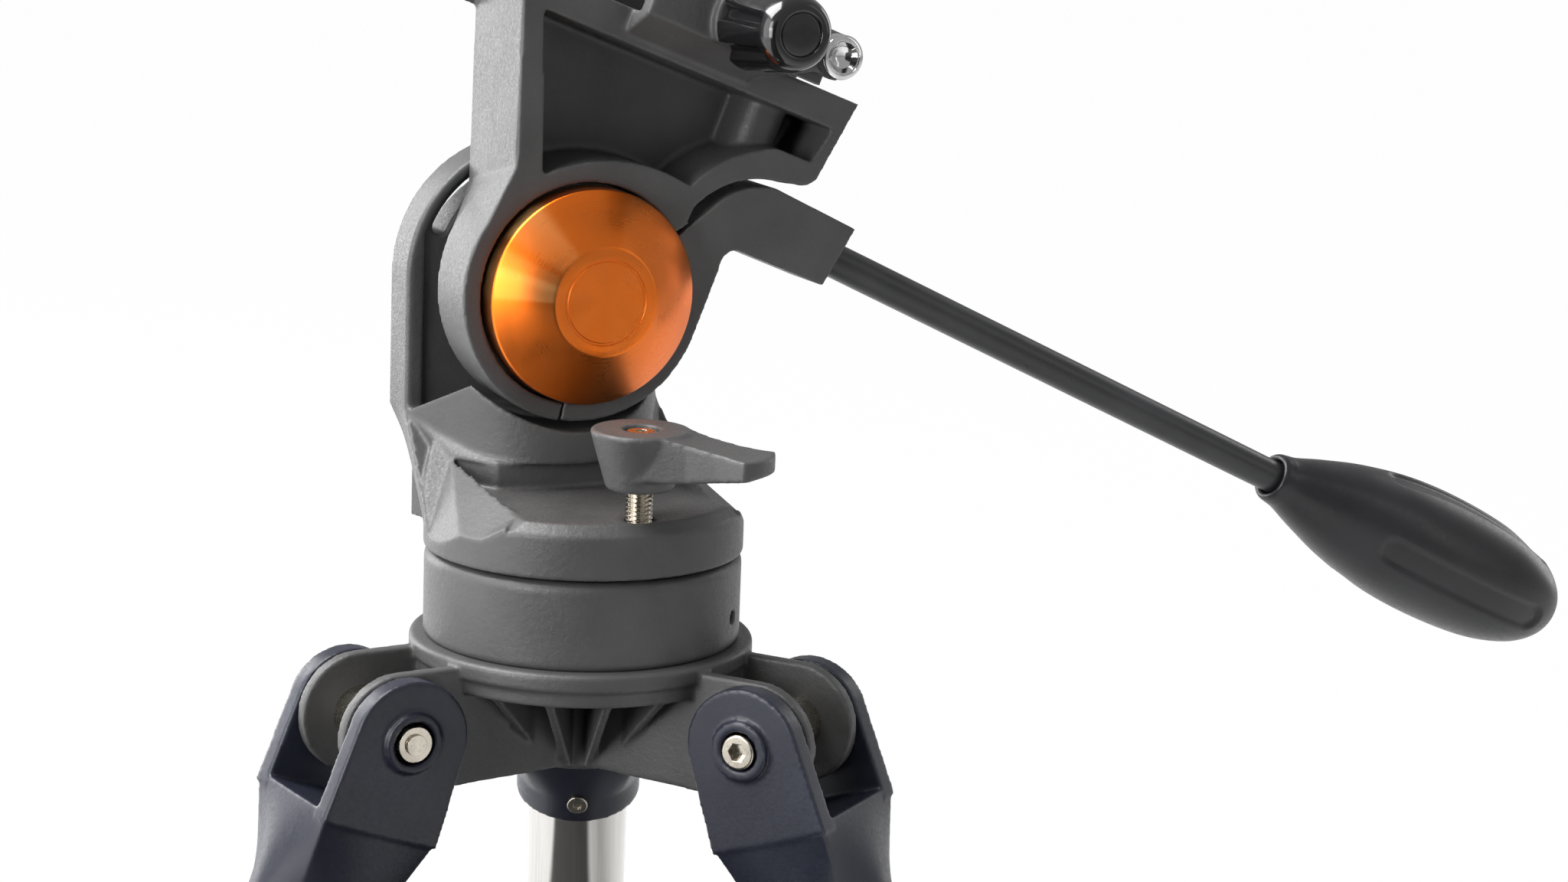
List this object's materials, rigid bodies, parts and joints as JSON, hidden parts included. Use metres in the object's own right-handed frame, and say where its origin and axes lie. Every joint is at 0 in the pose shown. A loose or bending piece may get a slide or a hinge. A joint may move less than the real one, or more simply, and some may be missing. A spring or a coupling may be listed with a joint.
{
  "type": "alt azimuth mount",
  "caption": "Altitude-azimuth telescope mount head with orange clutch knob, pan handle, dovetail saddle and folding tripod hub",
  "frame": {"origin": "Centre of the flat underside of the tripod hub's middle boss, on the azimuth axis", "axes": "+Z is the azimuth axis, up; the altitude axis is parallel to Y with its clutch knob on the -Y side; the pan handle points towards +X"},
  "size_m": [0.4905, 0.2218, 0.3539],
  "materials": {
    "cast_grey": "dark grey fine-textured powder coat on a die casting",
    "navy_plastic": "very dark navy moulded plastic with a faint grain",
    "orange_anodised": "vivid orange anodised, fine turned lines",
    "stainless_tube": "polished stainless steel tube",
    "plated_steel": "bright plated steel",
    "bronze": "sintered bronze bush",
    "brass": "turned brass",
    "nylon": "natural nylon",
    "black_gloss": "glossy black moulded plastic",
    "chrome": "bright chrome plate",
    "black_satin": "satin black coated steel rod",
    "grip_black": "smooth soft-sheen black grip"
  },
  "bodies": {
    "base": {"tripod_hub": "cast_grey", "base_fixing_screws": "plated_steel", "leg_pivot_bolts": "plated_steel", "leg_pivot_nuts": "plated_steel", "leg_pivot_spacers": "plated_steel", "leg_pivot_washers": "nylon", "azimuth_base": "cast_grey", "base_set_screw": "plated_steel", "azimuth_bushing": "bronze"},
    "arm": {"azimuth_arm": "cast_grey", "azimuth_spindle": "plated_steel", "azimuth_thrust_washer": "nylon", "spindle_washer": "plated_steel", "spindle_nut": "plated_steel", "brake_pad": "nylon", "altitude_shaft": "plated_steel", "shaft_washer": "plated_steel", "shaft_nut": "plated_steel", "friction_washer": "nylon"},
    "head": {"altitude_head": "cast_grey", "altitude_bushing": "bronze", "altitude_stop_pin": "plated_steel", "pan_handle_bracket": "cast_grey", "bracket_screws": "plated_steel", "saddle_jaw": "cast_grey"},
    "clutch_knob": {"altitude_knob": "orange_anodised", "knob_insert": "brass", "knob_spring_washer": "plated_steel"},
    "lock": {"lock_lever": "cast_grey", "lock_stud": "plated_steel", "lever_cap_screw": "plated_steel"},
    "saddle_clamp": {"clamp_knob": "black_gloss", "clamp_knob_cap": "black_gloss", "clamp_screw": "plated_steel"},
    "saddle_thumbscrew": {"thumb_screw": "chrome"},
    "pan_handle": {"handle_rod": "black_satin", "handle_grip": "grip_black"},
    "leg_1": {"leg_yoke_1": "navy_plastic", "leg_tube_1": "stainless_tube", "leg_set_screw_1": "plated_steel"},
    "leg_2": {"leg_yoke_2": "navy_plastic", "leg_tube_2": "stainless_tube", "leg_set_screw_2": "plated_steel"},
    "leg_3": {"leg_yoke_3": "navy_plastic", "leg_tube_3": "stainless_tube", "leg_set_screw_3": "plated_steel"}
  },
  "joints": [
    {"name": "azimuth_turn", "type": "hinge", "parent": "base", "child": "arm", "pos_m": [0, 0, 0.0626], "axis": [0, 0, 1], "continuous": true},
    {"name": "altitude_tilt", "type": "hinge", "parent": "arm", "child": "head", "pos_m": [0, 0.0205, 0.136], "axis": [0, 1, 0], "range_deg": [-40, 35]},
    {"name": "clutch_knob_turn", "type": "hinge", "parent": "arm", "child": "clutch_knob", "pos_m": [0, 0, 0.136], "axis": [0, 1, 0], "range_deg": [-180, 180]},
    {"name": "azimuth_lock_turn", "type": "hinge", "parent": "arm", "child": "lock", "pos_m": [0, -0.038, 0.09], "axis": [0, 0, 1], "range_deg": [-60, 60]},
    {"name": "saddle_clamp_turn", "type": "hinge", "parent": "head", "child": "saddle_clamp", "pos_m": [0.04576, -0.02, 0.21401], "axis": [0, -1, 0], "continuous": true},
    {"name": "saddle_thumbscrew_turn", "type": "hinge", "parent": "head", "child": "saddle_thumbscrew", "pos_m": [0.06682, -0.015, 0.2058], "axis": [0, -1, 0], "continuous": true},
    {"name": "pan_handle_twist", "type": "hinge", "parent": "head", "child": "pan_handle", "pos_m": [0.0865, 0.013, 0.1403], "axis": [0.9043, 0, -0.4269], "range_deg": [-180, 180]},
    {"name": "leg_1_fold", "type": "hinge", "parent": "base", "child": "leg_1", "pos_m": [0.02666, 0.06016, 0.0176], "axis": [-0.9143, 0.4051, 0], "range_deg": [0, 20.1]},
    {"name": "leg_2_fold", "type": "hinge", "parent": "base", "child": "leg_2", "pos_m": [-0.06543, -0.00699, 0.0176], "axis": [0.1063, -0.9943, 0], "range_deg": [0, 20.1]},
    {"name": "leg_3_fold", "type": "hinge", "parent": "base", "child": "leg_3", "pos_m": [0.03877, -0.05317, 0.0176], "axis": [0.808, 0.5892, 0], "range_deg": [0, 20.1]}
  ]
}
